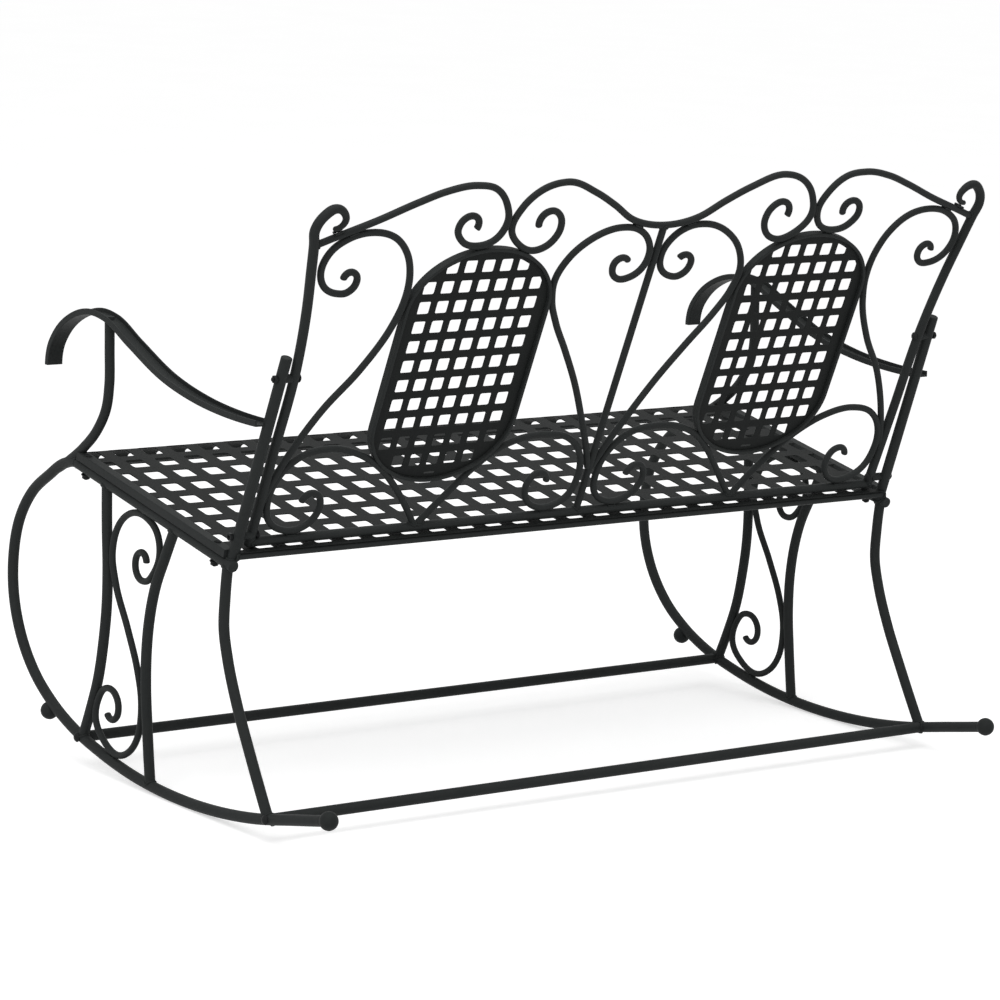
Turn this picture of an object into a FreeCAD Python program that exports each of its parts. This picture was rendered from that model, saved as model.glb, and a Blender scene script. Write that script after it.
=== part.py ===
import FreeCAD, Part
import math
import os

# Rocking bench in millimetres. X runs along the bench, +Y to the back, +Z up.
# The origin lies on the floor, in the middle of the bench seen from above.

V = FreeCAD.Vector
os.makedirs("parts", exist_ok=True)

# Main sizes

FRAME_X = 600.0            # each side frame stands this far from the middle
MAIN_TUBE = 16.0           # rocker, side rail, crossbars, back support
LEG_TUBE = 15.5
POST_TUBE = 14.5           # arm post
BACK_TUBE = 14.0           # uprights and bottom rail of the back
ROD = 10.0                 # scrolls, top rails, seat rails
CENTRE_ROD = 10.5          # post in the middle of the back
BALL = 27.0
BACK_LEAN = 25.36          # degrees from upright
SEAT_SLOPE = 14.8          # degrees, down to the back
BACK_ORIGIN = V(0, 372.0, 805.4)
SEAT_ORIGIN = V(0, 168.0, 378.6)

lean = math.radians(BACK_LEAN)
slope = math.radians(SEAT_SLOPE)
BACK_UP = V(0, math.sin(lean), math.cos(lean))
BACK_OUT = V(0, math.cos(lean), -math.sin(lean))
SEAT_FORWARD = V(0, -math.cos(slope), math.sin(slope))
SEAT_UP = V(0, math.sin(slope), math.cos(slope))
ALONG = V(1, 0, 0)


def on_back(x, v, out=0.0):
    """Point of the back: x along the bench, v up the slope, out behind it."""
    return BACK_ORIGIN + ALONG * x + BACK_UP * v + BACK_OUT * out


def on_seat(x, b, up=0.0):
    """Point of the seat: x along the bench, b towards the front, up above it."""
    return SEAT_ORIGIN + ALONG * x + SEAT_FORWARD * b + SEAT_UP * up


def on_frame(y, z):
    """Point of the left side frame."""
    return V(FRAME_X, y, z)


# Bent rods

def unit(vector):
    return vector * (1.0 / vector.Length)


def headings(points, start, finish):
    """Direction of travel at each point, from the circle through its neighbours."""
    result = [None]
    for before, here, after in zip(points, points[1:], points[2:]):
        arrive, leave = here - before, after - here
        result.append(unit(unit(arrive) * leave.Length + unit(leave) * arrive.Length))
    result.append(None)
    for end, inner, other in ((0, 1, 1), (-1, -2, -2)):
        if len(points) == 2:
            result[end] = unit(points[1] - points[0])
            continue
        chord = unit(points[other] - points[end])
        result[end] = chord * (2 * chord.dot(result[inner])) - result[inner]
    if start is not None:
        result[0] = unit(start)
    if finish is not None:
        result[-1] = unit(finish)
    return result


def arc(start, corner, end):
    """Arc from start to end that is tangent to the lines to the corner."""
    half = (end - start).Length / 2
    middle = (start + end) * 0.5
    cosine = half / (corner - start).Length
    if cosine > 1 - 1e-7:
        return Part.makeLine(start, end)
    crown = middle + (corner - middle) * (cosine / (1 + cosine))
    return Part.Arc(start, crown, end).toShape()


def smooth(points, start=None, finish=None):
    """Smooth line through the points: two tangent arcs from each to the next."""
    edges = []
    directions = headings(points, start, finish)
    for a, b, p, q in zip(points, points[1:], directions, directions[1:]):
        step = b - a
        spread = 2 * (1 - p.dot(q))
        along = step.dot(p + q)
        if spread < 1e-9:
            reach = step.dot(step) / (2 * along)
        else:
            reach = (math.sqrt(along * along + spread * step.dot(step)) - along) / spread
        first, second = a + p * reach, b - q * reach
        join = (first + second) * 0.5
        if unit(step).dot(p) > 1 - 1e-10 and unit(step).dot(q) > 1 - 1e-10:
            edges.append(Part.makeLine(a, b))
            continue
        edges.append(arc(a, first, join))
        edges.append(arc(join, second, b))
    return Part.Wire(edges)


def rod(path, diameter):
    """Round rod along a line."""
    edge = path.OrderedEdges[0]
    start = path.OrderedVertexes[0].Point
    end = edge.ParameterRange[0]
    if (edge.valueAt(end) - start).Length > 1e-6:
        end = edge.ParameterRange[1]
    section = Part.Face(Part.Wire(Part.makeCircle(diameter / 2, start, edge.tangentAt(end))))
    return path.makePipe(section)


def bar(start, end, diameter):
    """Straight round rod between two points."""
    return Part.makeCylinder(diameter / 2, (end - start).Length, start, end - start)


def trimmed(shape, *others):
    """Shape without what other pieces fill, keeping only its main body."""
    for other in others:
        shape = max(shape.cut(other).Solids, key=lambda solid: solid.Volume)
    return shape


def mirrored(shape):
    return shape.mirror(V(0, 0, 0), ALONG)


def frame_rod(points, diameter, start=None, finish=None):
    """Rod in the left side frame through points given as (y, z)."""
    return rod(smooth([on_frame(y, z) for y, z in points], start, finish), diameter)


def back_rod(points, diameter=ROD, start=None):
    """Rod in the back through points given as (x, v)."""
    return rod(smooth([on_back(x, v) for x, v in points], start), diameter)


pieces = {}


def both_sides(name, left):
    pieces["left_" + name] = left
    pieces["right_" + name] = mirrored(left)


# Side frame

RAIL_DROP = 0.2642         # fall of the side rail per mm towards the back
RAIL_FRONT = (-222.0, 461.9)
RAIL_BACK_Y = 183.0
rail_heading = unit(V(0, 1, -RAIL_DROP))


def rail_height(y):
    return RAIL_FRONT[1] - RAIL_DROP * (y - RAIL_FRONT[0])


REAR_BALL = (408.0, 38.0)
STOP_BALL = (-310.0, 89.0)
FRONT_BAR = (-220.0, 62.5)
REAR_BAR = (268.0, 18.0)
BAR_HOLE = 8.4
BAR_BOLT = 8.0
SEAT_BOLT_Y = (-197.0, 138.0)
SEAT_BOLT_HOLE = 6.4
SEAT_BOLT = 6.0

ROCKER = [REAR_BALL, (330, 26.8), (225, 12.8), (120, 8), (15, 12.8), (-90, 27.6), (-171, 47.5),
          (-240, 70.5), (-302, 102), (-352, 141), (-390, 194), (-408, 250), (-408, 303),
          (-390, 361), (-352, 407), (-302, 437.5), (-258, 458.5), RAIL_FRONT]
rocker = frame_rod(ROCKER, MAIN_TUBE, finish=rail_heading)
side_rail = bar(on_frame(*RAIL_FRONT), on_frame(RAIL_BACK_Y, rail_height(RAIL_BACK_Y)), MAIN_TUBE)

REAR_LEG = [(169, rail_height(169)), (161, 312), (157.5, 265), (166, 225), (187, 168),
            (218, 104), (262, 20)]
rear_leg = trimmed(frame_rod(REAR_LEG, LEG_TUBE), side_rail, rocker)
REAR_MID_LEG = [(36, rail_height(36)), (8, 348), (-17, 305), (-33, 260), (-41, 220), (-45, 160),
                (-42, 95), (-36, 18)]
rear_mid_leg = trimmed(frame_rod(REAR_MID_LEG, LEG_TUBE), side_rail, rocker)
FRONT_MID_LEG = [(-143, rail_height(-143)), (-144.5, 380), (-144, 315), (-148, 260),
                 (-157, 212), (-174, 152), (-194, 108), (-218, 62)]
front_mid_leg = trimmed(frame_rod(FRONT_MID_LEG, LEG_TUBE), side_rail, rocker)

SIDE_SCROLL = [(-40, 336), (-47, 349), (-62, 347), (-69.5, 332), (-62, 314), (-42, 310),
               (-22, 323.5), (-5.5, 351.5), (-12, 383), (-36, 400), (-70, 405), (-105, 390),
               (-130.5, 340), (-122, 297), (-92, 237), (-67, 180), (-57.8, 140), (-58.5, 117),
               (-68, 84), (-90, 60), (-122, 49.6), (-158, 64), (-181.5, 97), (-173.5, 124),
               (-152, 143), (-128, 138), (-119, 120), (-124, 105), (-137, 99), (-150, 107)]
side_scroll = trimmed(frame_rod(SIDE_SCROLL, ROD), front_mid_leg, rear_mid_leg, rocker,
                      side_rail)

# Armrest: a strip with turned-down edges, open below
ARM_WIDTH = 25.0
ARM_HEIGHT = 9.0
ARM_SHEET = 2.5
ARMREST = [(-286, 600), (-280, 625), (-262, 648), (-217, 675), (-170, 684), (-127, 677),
           (-66, 646), (21, 604), (106, 579), (180, 566), (257, 559)]
arm_path = smooth([on_frame(y, z) for y, z in ARMREST])


def arm_section():
    half, high, sheet = ARM_WIDTH / 2, ARM_HEIGHT / 2, ARM_SHEET
    outline = [(-half, -high), (-half, high), (half, high), (half, -high), (half - sheet, -high),
               (half - sheet, high - sheet), (-half + sheet, high - sheet), (-half + sheet, -high)]
    forward = arm_path.OrderedEdges[0].tangentAt(arm_path.OrderedEdges[0].FirstParameter)
    upward = ALONG.cross(forward)
    start = arm_path.OrderedVertexes[0].Point
    corners = [start + ALONG * x + upward * z for x, z in outline]
    return Part.Face(Part.makePolygon(corners + corners[:1]))


SUPPORT_FOOT = V(595.2, 168.5, 357.0)
SUPPORT_TOP = V(587.0, 296.0, 650.0)
back_support = trimmed(bar(SUPPORT_FOOT, SUPPORT_TOP, MAIN_TUBE), side_rail, rear_leg)
armrest = trimmed(arm_path.makePipe(arm_section()), back_support)
ARM_POST = [(-131, 680.5), (-132, 631), (-134, 581), (-142, 549), (-167, 515), (-205, 486),
            (-244, 464.5), (-286, 446)]
arm_post = trimmed(frame_rod(ARM_POST, POST_TUBE), armrest, rocker, side_rail)

rear_ball = Part.makeSphere(BALL / 2, on_frame(*REAR_BALL)).cut(rocker)
stop_ball = Part.makeSphere(BALL / 2, on_frame(*STOP_BALL)).cut(rocker)

for name, shape in (("rocker", rocker), ("side_rail", side_rail), ("rear_leg", rear_leg),
                    ("rear_mid_leg", rear_mid_leg), ("front_mid_leg", front_mid_leg),
                    ("side_scroll", side_scroll), ("arm_post", arm_post), ("armrest", armrest),
                    ("back_support", back_support), ("rear_ball", rear_ball),
                    ("stop_ball", stop_ball)):
    both_sides(name, shape)

# Crossbars between the side frames

BAR_END = FRAME_X - MAIN_TUBE / 2
BOLT_GRIP = 28.0           # length of a crossbar bolt inside the bar
BAR_BOLT_HEAD = 14.0
HEAD_HIGH = 5.0


def along_bar(y, z, start, end, diameter):
    """Round rod along the bench."""
    return bar(V(start, y, z), V(end, y, z), diameter)


def bolt(seat, axis, shank, length, head, height):
    """Bolt with a low domed head that stands on seat and a shank that runs back along axis."""
    radius = (head * head / 4 + height * height) / (2 * height)
    angle = math.asin(head / 2 / radius)
    if height > radius:
        angle = math.pi - angle
    crown = V(radius * math.sin(angle / 2), 0, height - radius + radius * math.cos(angle / 2))
    corners = [V(0, 0, height), V(0, 0, -length), V(shank / 2, 0, -length), V(shank / 2, 0, 0),
               V(head / 2, 0, 0)]
    dome = Part.Arc(corners[4], crown, corners[0]).toShape()
    profile = Part.Face(Part.Wire(Part.makePolygon(corners).Edges + [dome]))
    solid = profile.revolve(V(0, 0, 0), V(0, 0, 1), 360)
    solid.Placement = FreeCAD.Placement(seat, FreeCAD.Rotation(V(0, 0, 1), axis))
    return solid


crossbar_bolts = []
for name, (y, z) in (("front_crossbar", FRONT_BAR), ("rear_crossbar", REAR_BAR)):
    crossbar = along_bar(y, z, -BAR_END, BAR_END, MAIN_TUBE)
    for side in (-1, 1):
        inner = BAR_END - BOLT_GRIP
        outer = FRAME_X + MAIN_TUBE / 2
        hole = along_bar(y, z, side * inner, side * (outer + 1), BAR_HOLE)
        crossbar = crossbar.cut(hole)
        rocker_name = "left_rocker" if side > 0 else "right_rocker"
        pieces[rocker_name] = pieces[rocker_name].cut(hole)
        crossbar_bolts.append(bolt(V(side * outer, y, z), ALONG * side, BAR_BOLT,
                                   outer - inner - 0.5, BAR_BOLT_HEAD, HEAD_HIGH))
    pieces[name] = crossbar

# Seat frame

STRIP = 1.5                # thickness of the flat strips of the seat
WEAVE = STRIP / 2 + 0.1    # a strip runs this far above or below the seat plane
RAIL_WIDE = 16.0
RAIL_BOTTOM = -11.0
RAIL_TOP = 1.0
RAIL_ENDS = (-4.0, 392.0)
SEAT_END = FRAME_X - RAIL_WIDE / 2
ROD_DROP = WEAVE + STRIP / 2 + ROD / 2
REAR_ROD = -14.0
FRONT_ROD = 365.0


def seat_block(x, b, up, wide, long, high):
    """Block with its lowest, rearmost corner on the side of -x at the point."""
    corners = [on_seat(x, b, up), on_seat(x + wide, b, up), on_seat(x + wide, b + long, up),
               on_seat(x, b + long, up)]
    return Part.Face(Part.makePolygon(corners + corners[:1])).extrude(SEAT_UP * high)


seat_rail = seat_block(SEAT_END, RAIL_ENDS[0], RAIL_BOTTOM, RAIL_WIDE,
                       RAIL_ENDS[1] - RAIL_ENDS[0], RAIL_TOP - RAIL_BOTTOM)
seat_rail = trimmed(seat_rail, side_rail, rocker, back_support, arm_post)
for name, b in (("seat_rear_rod", REAR_ROD), ("seat_front_rod", FRONT_ROD)):
    seat_rod = bar(on_seat(-SEAT_END, b, -ROD_DROP), on_seat(SEAT_END, b, -ROD_DROP), ROD)
    pieces[name] = trimmed(seat_rod, back_support, mirrored(back_support))

# Bolts that hold the seat down on the side rails

NUT_ACROSS = 10.0
NUT_HIGH = 5.0
WASHER = 15.0
WASHER_HIGH = 1.5
seat_bolts = []
seat_nuts = []
seat_washers = []
side_rail = pieces["left_side_rail"]


def hexagon(base, axis, across, height, hole):
    """Hexagonal nut standing on base."""
    radius = across / math.sqrt(3)
    first = axis.cross(ALONG if abs(axis.x) < 0.5 else V(0, 1, 0))
    first.normalize()
    second = axis.cross(first)
    corners = [base + first * (radius * math.cos(math.radians(60 * i)))
               + second * (radius * math.sin(math.radians(60 * i))) for i in range(6)]
    nut = Part.Face(Part.makePolygon(corners + corners[:1])).extrude(axis * height)
    return nut.cut(Part.makeCylinder(hole / 2, height, base, axis))


for y in SEAT_BOLT_Y:
    axis_point = on_frame(y, rail_height(y))
    up = SEAT_UP
    from_plane = (axis_point - SEAT_ORIGIN).dot(SEAT_UP)
    rail_top = axis_point + up * (RAIL_TOP - from_plane)
    tube_bottom = axis_point - up * (MAIN_TUBE / 2)
    nut_top = tube_bottom - up * WASHER_HIGH
    bolt_end = nut_top - up * (NUT_HIGH + 1.5)
    hole = bar(bolt_end, rail_top + up, SEAT_BOLT_HOLE)
    side_rail = side_rail.cut(hole)
    seat_rail = seat_rail.cut(hole)
    seat_bolts.append(bolt(rail_top, up, SEAT_BOLT, (rail_top - bolt_end).Length, 11.0, 3.0))
    washer = bar(nut_top, tube_bottom, WASHER).cut(hole)
    seat_washers.append(washer)
    seat_nuts.append(hexagon(nut_top, -up, NUT_ACROSS, NUT_HIGH, SEAT_BOLT_HOLE))
both_sides("side_rail", side_rail)
both_sides("seat_rail", seat_rail)

# Woven strips


def band(middle, sheet, place, width):
    """Flat strip bent along a line of (s, n) points, width running the way of place(1)."""
    normals = []
    for a, b in zip(middle, middle[1:]):
        length = math.hypot(b[0] - a[0], b[1] - a[1])
        normals.append(((a[1] - b[1]) / length, (b[0] - a[0]) / length))
    upper, lower = [], []
    for i, (s, n) in enumerate(middle):
        p = normals[max(i - 1, 0)]
        q = normals[min(i, len(normals) - 1)]
        share = sheet / 2 / (1 + p[0] * q[0] + p[1] * q[1])
        shift = ((p[0] + q[0]) * share, (p[1] + q[1]) * share)
        upper.append(place(s + shift[0], n + shift[1]))
        lower.append(place(s - shift[0], n - shift[1]))
    outline = upper + lower[::-1]
    return Part.Face(Part.makePolygon(outline + outline[:1])).extrude(width)


def weave(crossings, height, flat, first):
    """Points of a strip that passes over and under the strips it crosses."""
    points = []
    side = first
    for s in crossings:
        points += [(s - flat, side * height), (s + flat, side * height)]
        side = -side
    return points


CROSS_PITCH = 49.3
CROSS_WIDE = 18.8
CROSS_X = [CROSS_PITCH * (k - 11.5) for k in range(24)]
LONG_WIDE = 18.0
LONG_PITCH = 49.0
LONG_B = [16.0 + LONG_PITCH * k for k in range(8)]
FLAT = 11.0                # half of the flat stretch where two strips cross
REAR_END = -19.0
FRONT_FACE = 388.0
LIP = 14.0                 # the cross strips turn down this far at the front
LIP_BEND = 3.0

seat_cross_strips = []
for k, x in enumerate(CROSS_X):
    first = 1 if k % 2 == 0 else -1
    middle = [(REAR_END, -WEAVE), (REAR_ROD + 5, -WEAVE)]
    middle += weave(LONG_B, WEAVE, FLAT, first)
    middle += [(FRONT_FACE, 0), (FRONT_FACE, -LIP)]
    strip = band(middle, STRIP, lambda s, n: on_seat(x - CROSS_WIDE / 2, s, n),
                 ALONG * CROSS_WIDE)
    corner = on_seat(x, FRONT_FACE)
    for radius, side in ((LIP_BEND + STRIP, 1), (LIP_BEND, -1)):
        spot = corner + (SEAT_FORWARD + SEAT_UP) * (side * STRIP / 2)
        edge = min(strip.Edges, key=lambda e: (e.CenterOfMass - spot).Length)
        strip = strip.makeFillet(radius, [edge])
    seat_cross_strips.append(strip)

seat_long_strips = []
for k, b in enumerate(LONG_B):
    first = -1 if k % 2 == 0 else 1
    middle = [(-SEAT_END, first * WEAVE)] + weave(CROSS_X, WEAVE, FLAT, first)[1:-1]
    middle += [(SEAT_END, -first * WEAVE)]
    seat_long_strips.append(band(middle, STRIP, lambda s, n: on_seat(s, b - LONG_WIDE / 2, n),
                                 SEAT_FORWARD * LONG_WIDE))

# Back: frame

UPRIGHT_X = 568.0
RAIL_V = -463.8
CURL = [(594, 0), (598.5, 21), (589, 42), (573, 52), (558, 45), (553, 33), (559, 24), (569, 22)]
UPRIGHT = [(UPRIGHT_X, -469.5), (UPRIGHT_X, -330), (UPRIGHT_X, -190), (577, -100), (587, -40),
           CURL[0]]
CURL_TIP = 7.0
CURL_HEADING = BACK_UP + ALONG * 0.12
upright_path = smooth([on_back(x, v) for x, v in UPRIGHT], BACK_UP, CURL_HEADING)
curl_path = smooth([on_back(x, v) for x, v in CURL], CURL_HEADING)


def tapered(path, wide, narrow, normal):
    """Round rod along a flat line, thinner towards its end."""
    maker = Part.BRepOffsetAPI.MakePipeShell(path)
    maker.setBiNormalMode(normal)
    first, last = path.OrderedEdges[0], path.OrderedEdges[-1]
    ends = ((first, first.FirstParameter, wide), (last, last.LastParameter, narrow))
    for edge, spot, diameter in ends:
        ring = Part.makeCircle(diameter / 2, edge.valueAt(spot), edge.tangentAt(spot))
        maker.add(Part.Wire(ring))
    maker.build()
    maker.makeSolid()
    return maker.shape()


upright = rod(upright_path, BACK_TUBE).fuse(tapered(curl_path, BACK_TUBE, CURL_TIP, BACK_OUT))
upright = upright.Solids[0]

bottom_rail = bar(on_back(-UPRIGHT_X, RAIL_V), on_back(UPRIGHT_X, RAIL_V), BACK_TUBE)
bottom_rail = trimmed(bottom_rail, upright, mirrored(upright))
centre_post = bar(on_back(0, RAIL_V), on_back(0, 6), CENTRE_ROD)

# Back: ovals

OVAL_X = 291.0
OVAL_HALF = 124.0
OVAL_TOP = -17.0
OVAL_BOTTOM = -387.0
OVAL_CAP = 95.0
RING = 5.0
RING_DEEP = 12.0
OVAL_STRIP = 1.2
OVAL_WEAVE = OVAL_STRIP / 2 + 0.1


def oval(inset, deep):
    """Solid oval plate, smaller all round by inset."""
    across, cap = OVAL_HALF - inset, OVAL_CAP - inset
    edges = []
    ends = ((OVAL_TOP - OVAL_CAP, 1), (OVAL_BOTTOM + OVAL_CAP, -1))
    for v, way in ends:
        centre = on_back(OVAL_X, v, -deep / 2)
        if across > cap:
            major, minor, half = ALONG * across, BACK_UP * (cap * way), 0
            ellipse = Part.Ellipse(centre + major, centre + minor, centre)
        edges.append(Part.Arc(ellipse, 0, math.pi).toShape())
    for way in (-1, 1):
        low = on_back(OVAL_X + way * across, ends[1][0], -deep / 2)
        high = on_back(OVAL_X + way * across, ends[0][0], -deep / 2)
        edges.append(Part.makeLine(low, high))
    outline = Part.Wire(Part.__sortEdges__(edges))
    return Part.Face(outline).extrude(BACK_OUT * deep)


oval_plate = oval(0, RING_DEEP)
oval_ring = oval_plate.cut(oval(RING, RING_DEEP))
oval_inside = oval(RING, RING_DEEP)
TALL_PITCH = 30.3
TALL_WIDE = 10.5
TALL_X = [OVAL_X + TALL_PITCH * (k - 3.5) for k in range(8)]
WIDE_PITCH = 30.6
WIDE_WIDE = 11.0
WIDE_V = [-30.5 - WIDE_PITCH * k for k in range(12)]
OVAL_FLAT = 6.5
tall_strips = []
for k, x in enumerate(TALL_X):
    middle = [(OVAL_BOTTOM, 0)] + weave(WIDE_V[::-1], OVAL_WEAVE, OVAL_FLAT, 1 - 2 * (k % 2))
    middle += [(OVAL_TOP, 0)]
    strip = band(middle, OVAL_STRIP, lambda s, n: on_back(x - TALL_WIDE / 2, s, n),
                 ALONG * TALL_WIDE)
    tall_strips.append(strip.common(oval_inside))
wide_strips = []
for k, v in enumerate(WIDE_V[::-1]):
    middle = [(OVAL_X - OVAL_HALF, 0)] + weave(TALL_X, OVAL_WEAVE, OVAL_FLAT, 2 * (k % 2) - 1)
    middle += [(OVAL_X + OVAL_HALF, 0)]
    strip = band(middle, OVAL_STRIP, lambda s, n: on_back(s, v - WIDE_WIDE / 2, n),
                 BACK_UP * WIDE_WIDE)
    wide_strips.append(strip.common(oval_inside))

# Back: top rails and scrolls

TOP_RAIL = [(589, -1), (560, 10), (500, 32), (440, 57), (400, 71.5), (351, 79.5), (315, 73),
            (291, 50), (280.7, 20), (290, -2), (320, -13.9), (350, -5), (361.5, 14), (355, 29),
            (342, 33), (331, 26), (331, 12)]
top_rail = trimmed(back_rod(TOP_RAIL), upright, oval_plate)
HALF_CENTRE_RAIL = [(60, 17), (100, 41), (140, 62), (194.5, 80), (236, 69), (262, 42),
                    (270.3, 12), (250, -14.5), (218, -25), (194, -13), (185, 9), (192, 28),
                    (208, 36), (222, 29), (224, 12)]
CENTRE_RAIL = [(-x, v) for x, v in reversed(HALF_CENTRE_RAIL)] + [(0, 6)] + HALF_CENTRE_RAIL
centre_rail = trimmed(back_rod(CENTRE_RAIL), oval_plate, mirrored(oval_plate))
centre_post = trimmed(centre_post, centre_rail, bottom_rail)

OUTER_SCROLL = [(531, -56), (525, -46), (512, -49), (508, -63), (518, -76), (536, -77),
                (560, -65), (570.8, -43), (563, -12), (540, 6), (502, 14), (462, 4), (436, -21),
                (421.5, -55), (419.0, -97), (428, -134), (462, -200), (505, -258), (532, -307),
                (558, -372), (566, -400)]
INNER_SCROLL = [(46, -49), (56, -43.5), (68, -49), (69, -65), (56, -77), (36, -76), (17, -62),
                (11.5, -40), (24, -13), (45, 1), (76, 5), (125, -12), (155, -41), (167.5, -73),
                (162, -106), (143, -143), (112, -188), (75, -245), (40, -310), (15, -360),
                (3, -390)]
inner_scroll = trimmed(back_rod(INNER_SCROLL), centre_post, oval_plate, centre_rail)

FORK_X = 290.0
LOWER_OUTER = [(FORK_X, RAIL_V), (335, -404), (380, -360), (425, -334), (480, -322.5),
               (524, -334), (550, -365), (555.6, -400), (545, -432), (518, -449), (492, -450),
               (470, -434), (465, -412), (475, -395), (490, -394), (498, -406)]
LOWER_INNER = [(FORK_X, RAIL_V), (250, -415), (215, -374), (180, -345), (145, -331),
               (100, -327), (58, -335), (28, -361), (16.5, -400), (25, -434), (52, -450.5),
               (82, -448), (103, -430), (106.5, -407), (94, -392), (79, -395), (73, -407)]
fork_half = Part.makeBox(400, 2000, 2000, V(FORK_X, -500, -500))
lower_outer = trimmed(back_rod(LOWER_OUTER).common(fork_half), upright, oval_plate, bottom_rail)
lower_inner = trimmed(back_rod(LOWER_INNER).cut(fork_half), centre_post, oval_plate, bottom_rail)
outer_scroll = trimmed(back_rod(OUTER_SCROLL), upright, oval_plate, top_rail, lower_outer)

# Bolts through the uprights and the back supports

BACK_BOLTS = ((284.1, 620.2), (181.5, 397.0))
BACK_BOLT = 6.0
BACK_HOLE = 6.4
SPACER = 12.0
back_bolts, back_nuts, back_spacers = [], [], []
support_whole, upright_whole = back_support, upright
for y, z in BACK_BOLTS:
    inner, outer = UPRIGHT_X - BACK_TUBE / 2, FRAME_X + MAIN_TUBE
    hole = along_bar(y, z, inner - 10, outer, BACK_HOLE)
    seat_x = support_whole.common(along_bar(y, z, inner, outer, NUT_ACROSS)).BoundBox.XMax
    back_support = back_support.cut(hole)
    upright = upright.cut(hole)
    spacer = along_bar(y, z, UPRIGHT_X, seat_x - MAIN_TUBE / 2, SPACER).cut(hole)
    back_spacers.append(trimmed(spacer, upright_whole, support_whole))
    back_bolts.append(bolt(V(inner, y, z), -ALONG, BACK_BOLT, seat_x + 5.5 - inner, 13.0, 4.0))
    back_nuts.append(hexagon(V(seat_x, y, z), ALONG, NUT_ACROSS, NUT_HIGH, BACK_HOLE))
both_sides("back_support", back_support)

both_sides("upright", upright)
both_sides("top_rail", top_rail)
both_sides("outer_scroll", outer_scroll)
both_sides("inner_scroll", inner_scroll)
both_sides("lower_outer_scroll", lower_outer)
both_sides("lower_inner_scroll", lower_inner)
both_sides("oval_ring", oval_ring)
both_sides("oval_tall_strips", Part.makeCompound(tall_strips))
both_sides("oval_wide_strips", Part.makeCompound(wide_strips))
pieces["back_bottom_rail"] = bottom_rail
pieces["centre_post"] = centre_post
pieces["centre_top_rail"] = centre_rail
pieces["seat_cross_strips"] = Part.makeCompound(seat_cross_strips)
pieces["seat_long_strips"] = Part.makeCompound(seat_long_strips)
pieces["crossbar_bolts"] = Part.makeCompound(crossbar_bolts)
for name, group in (("seat_bolts", seat_bolts), ("seat_washers", seat_washers),
                    ("seat_nuts", seat_nuts), ("back_bolts", back_bolts),
                    ("back_nuts", back_nuts), ("back_spacers", back_spacers)):
    pieces[name] = Part.makeCompound(group + [mirrored(item) for item in group])

# The bench comes to rest rocked forward from the position that it is drawn in

REST_TILT = 4.1
MOVE_BACK = 9.67
MOVE_UP = -5.594

for name, shape in pieces.items():
    shape.rotate(V(0, 0, 0), ALONG, REST_TILT)
    shape.translate(V(0, MOVE_BACK, MOVE_UP))
    print(name, shape.isValid(), len(shape.Solids), len(shape.Faces), round(shape.Volume))
    shape.exportStep("parts/" + name + ".step")
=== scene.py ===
import math

import bpy
import numpy
from mathutils import Matrix, Vector


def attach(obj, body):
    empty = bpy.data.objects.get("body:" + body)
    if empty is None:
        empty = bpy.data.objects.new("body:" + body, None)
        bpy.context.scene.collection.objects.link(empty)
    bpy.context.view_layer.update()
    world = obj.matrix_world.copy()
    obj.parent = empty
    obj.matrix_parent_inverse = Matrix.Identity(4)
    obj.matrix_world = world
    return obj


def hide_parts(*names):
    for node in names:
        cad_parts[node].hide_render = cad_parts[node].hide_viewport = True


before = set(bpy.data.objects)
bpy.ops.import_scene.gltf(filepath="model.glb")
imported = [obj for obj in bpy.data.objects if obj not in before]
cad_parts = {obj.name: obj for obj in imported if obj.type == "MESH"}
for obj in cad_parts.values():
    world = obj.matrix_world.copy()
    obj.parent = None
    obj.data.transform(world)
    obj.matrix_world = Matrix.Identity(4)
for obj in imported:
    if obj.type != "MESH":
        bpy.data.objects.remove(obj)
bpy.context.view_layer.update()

# Sizes in millimetres, and places in the position the bench is drawn in

MM = 0.001
FRAME_X = 600.0
MAIN_TUBE = 16.0
LEG_TUBE = 15.5
POST_TUBE = 14.5
BACK_TUBE = 14.0
CURL_TIP = 7.0
ROD = 10.0
CENTRE_ROD = 10.5
BALL = 27.0
BACK_LEAN = math.radians(25.36)
SEAT_SLOPE = math.radians(14.8)
REST_TILT = math.radians(4.1)
BACK_ORIGIN = Vector((0, 372.0, 805.4))
SEAT_ORIGIN = Vector((0, 168.0, 378.6))
ALONG = Vector((1, 0, 0))
BACK_UP = Vector((0, math.sin(BACK_LEAN), math.cos(BACK_LEAN)))
BACK_OUT = Vector((0, math.cos(BACK_LEAN), -math.sin(BACK_LEAN)))
SEAT_FORWARD = Vector((0, -math.cos(SEAT_SLOPE), math.sin(SEAT_SLOPE)))
SEAT_UP = Vector((0, math.sin(SEAT_SLOPE), math.cos(SEAT_SLOPE)))

# The whole bench rests rocked forward from that position
REST = Matrix.Translation((0, 9.67, -5.594)) @ Matrix.Rotation(REST_TILT, 4, "X")


def on_frame(side, y, z):
    """Point of a side frame: side is 1 on the left and -1 on the right."""
    return Vector((side * FRAME_X, y, z))


def on_back(x, v, out=0.0):
    """Point of the back: x along the bench, v up the slope, out behind it."""
    return BACK_ORIGIN + ALONG * x + BACK_UP * v + BACK_OUT * out


def on_seat(x, b, up=0.0):
    """Point of the seat: x along the bench, b towards the front, up above it."""
    return SEAT_ORIGIN + ALONG * x + SEAT_FORWARD * b + SEAT_UP * up


def at_rest(point):
    """The same point in metres, once the bench has come to rest."""
    return (REST @ point) * MM


def turned(direction):
    return REST.to_3x3() @ direction


def shown(thing):
    """Puts an object in the scene."""
    bpy.context.scene.collection.objects.link(thing)
    return thing


# Camera, from beyond the left end and behind

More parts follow.
